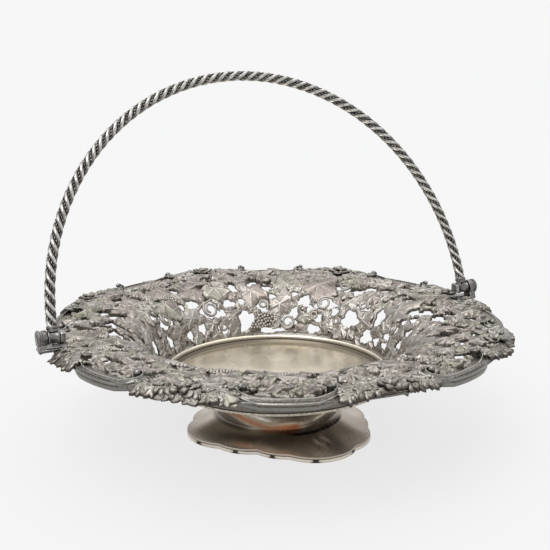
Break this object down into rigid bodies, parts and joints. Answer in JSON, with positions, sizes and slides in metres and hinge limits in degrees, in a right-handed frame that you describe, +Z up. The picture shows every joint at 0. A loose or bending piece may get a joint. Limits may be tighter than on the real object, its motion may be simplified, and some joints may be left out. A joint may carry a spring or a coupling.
{
  "type": "silver cake basket",
  "caption": "Round cake basket in aged silver plate: pierced vine-leaf dish with a scroll and flower border, low lobed foot and a rope-twist handle that swings on two ears.",
  "frame": {"origin": "on the table under the middle of the dish", "axes": "+Z up, +X along the handle's hinge line, handle leans towards +Y at rest"},
  "size_m": [0.3156, 0.3, 0.2337],
  "materials": {
    "vine_silver": "aged silver plate, struck in relief",
    "border_silver": "aged silver plate, cast",
    "well_silver": "smooth silver plate with a warm tarnish",
    "foot_silver": "dark polished silver plate, worn to copper at the seam",
    "rope_silver": "twisted silver-plated wire",
    "hinge_silver": "aged silver plate"
  },
  "bodies": {
    "basket": {"well_plate": "well_silver", "well_bead": "well_silver", "pierced_flange": "vine_silver", "edge_wire": "border_silver", "rim_scroll_1": "border_silver", "rim_scroll_2": "border_silver", "rim_scroll_3": "border_silver", "rim_scroll_4": "border_silver", "rim_scroll_5": "border_silver", "rim_scroll_6": "border_silver", "rim_scroll_7": "border_silver", "rim_scroll_8": "border_silver", "rim_spray_1": "border_silver", "rim_spray_2": "border_silver", "rim_spray_3": "border_silver", "rim_spray_4": "border_silver", "rim_spray_5": "border_silver", "rim_spray_6": "border_silver", "rim_spray_7": "border_silver", "rim_spray_8": "border_silver", "foot_collar": "foot_silver", "foot_flare": "foot_silver", "foot_band": "foot_silver", "hinge_ear_left": "hinge_silver", "hinge_ear_right": "hinge_silver", "hinge_pin_left": "hinge_silver", "hinge_pin_right": "hinge_silver", "hinge_nut_left": "hinge_silver", "hinge_nut_right": "hinge_silver"},
    "handle": {"handle_eye_left": "hinge_silver", "handle_eye_right": "hinge_silver", "handle_strand_1": "rope_silver", "handle_strand_2": "rope_silver", "handle_strand_3": "rope_silver", "handle_fine_strand_1": "rope_silver", "handle_fine_strand_2": "rope_silver", "handle_fine_strand_3": "rope_silver"}
  },
  "joints": [
    {"name": "handle_swing", "type": "hinge", "parent": "basket", "child": "handle", "pos_m": [0, 0, 0.08], "axis": [1, 0, 0], "range_deg": [-60, 104]}
  ]
}
